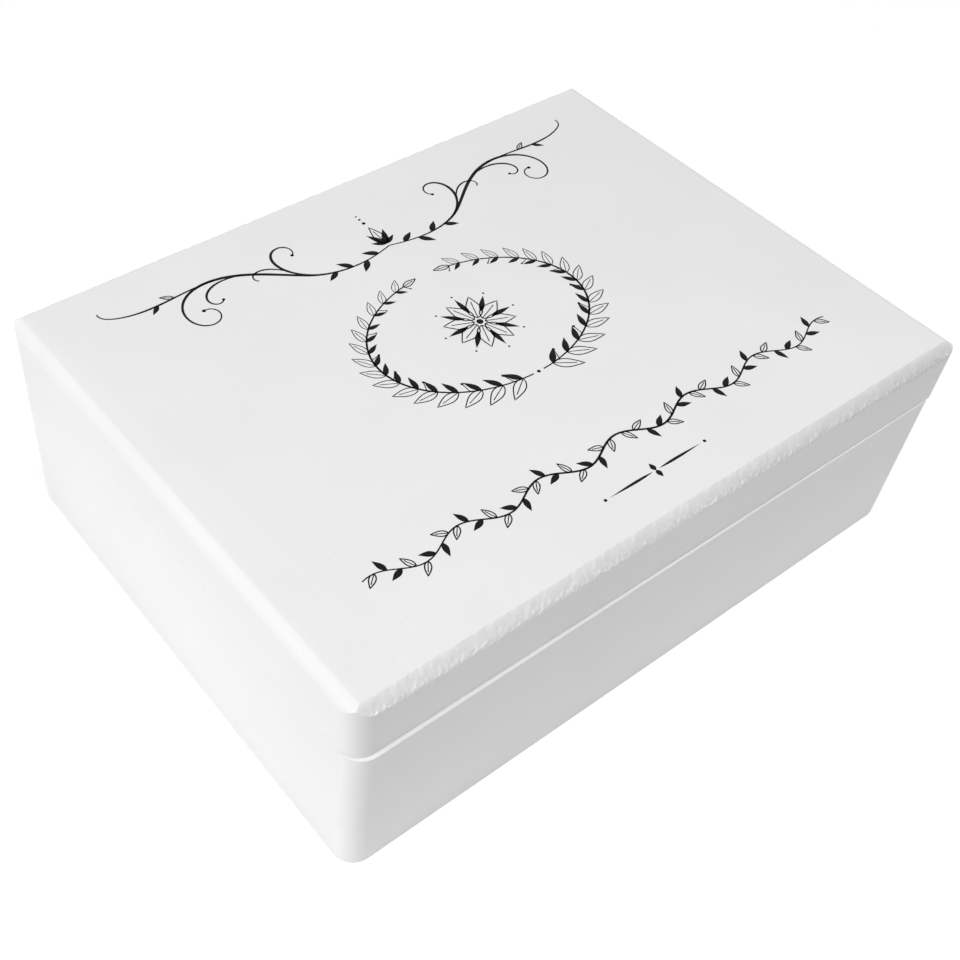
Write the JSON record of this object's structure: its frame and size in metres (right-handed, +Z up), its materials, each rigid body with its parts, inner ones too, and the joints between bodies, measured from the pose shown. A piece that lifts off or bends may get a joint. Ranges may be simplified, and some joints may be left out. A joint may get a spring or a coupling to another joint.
{
  "type": "keepsake box",
  "caption": "Rectangular white wooden box for papers and keepsakes, with round upright corners and a hinged lid with a rounded top edge.",
  "frame": {"origin": "centre of the underside of the closed box", "axes": "+X along the box, to the right as seen from the front; +Y from the front to the hinges at the back; +Z up"},
  "size_m": [0.4, 0.301, 0.131],
  "materials": {
    "painted_pine": "satin white paint on pine",
    "painted_plywood": "satin white paint on plywood",
    "hinge_steel": "nickel-plated",
    "screw_steel": "zinc-plated"
  },
  "bodies": {
    "base": {"body_front_board": "painted_pine", "body_back_board": "painted_pine", "body_left_board": "painted_pine", "body_right_board": "painted_pine", "bottom_panel": "painted_plywood", "left_hinge_body_leaf": "hinge_steel", "left_hinge_pin": "hinge_steel", "left_hinge_body_screws": "screw_steel", "right_hinge_body_leaf": "hinge_steel", "right_hinge_pin": "hinge_steel", "right_hinge_body_screws": "screw_steel"},
    "lid": {"lid_front_rail": "painted_pine", "lid_back_rail": "painted_pine", "lid_left_rail": "painted_pine", "lid_right_rail": "painted_pine", "lid_top_panel": "painted_plywood", "left_hinge_lid_leaf": "hinge_steel", "left_hinge_lid_screws": "screw_steel", "right_hinge_lid_leaf": "hinge_steel", "right_hinge_lid_screws": "screw_steel"}
  },
  "joints": [
    {"name": "lid_hinge", "type": "hinge", "parent": "base", "child": "lid", "pos_m": [0, 0.1475, 0.0942], "axis": [-1, 0, 0], "range_deg": [0, 100]}
  ]
}
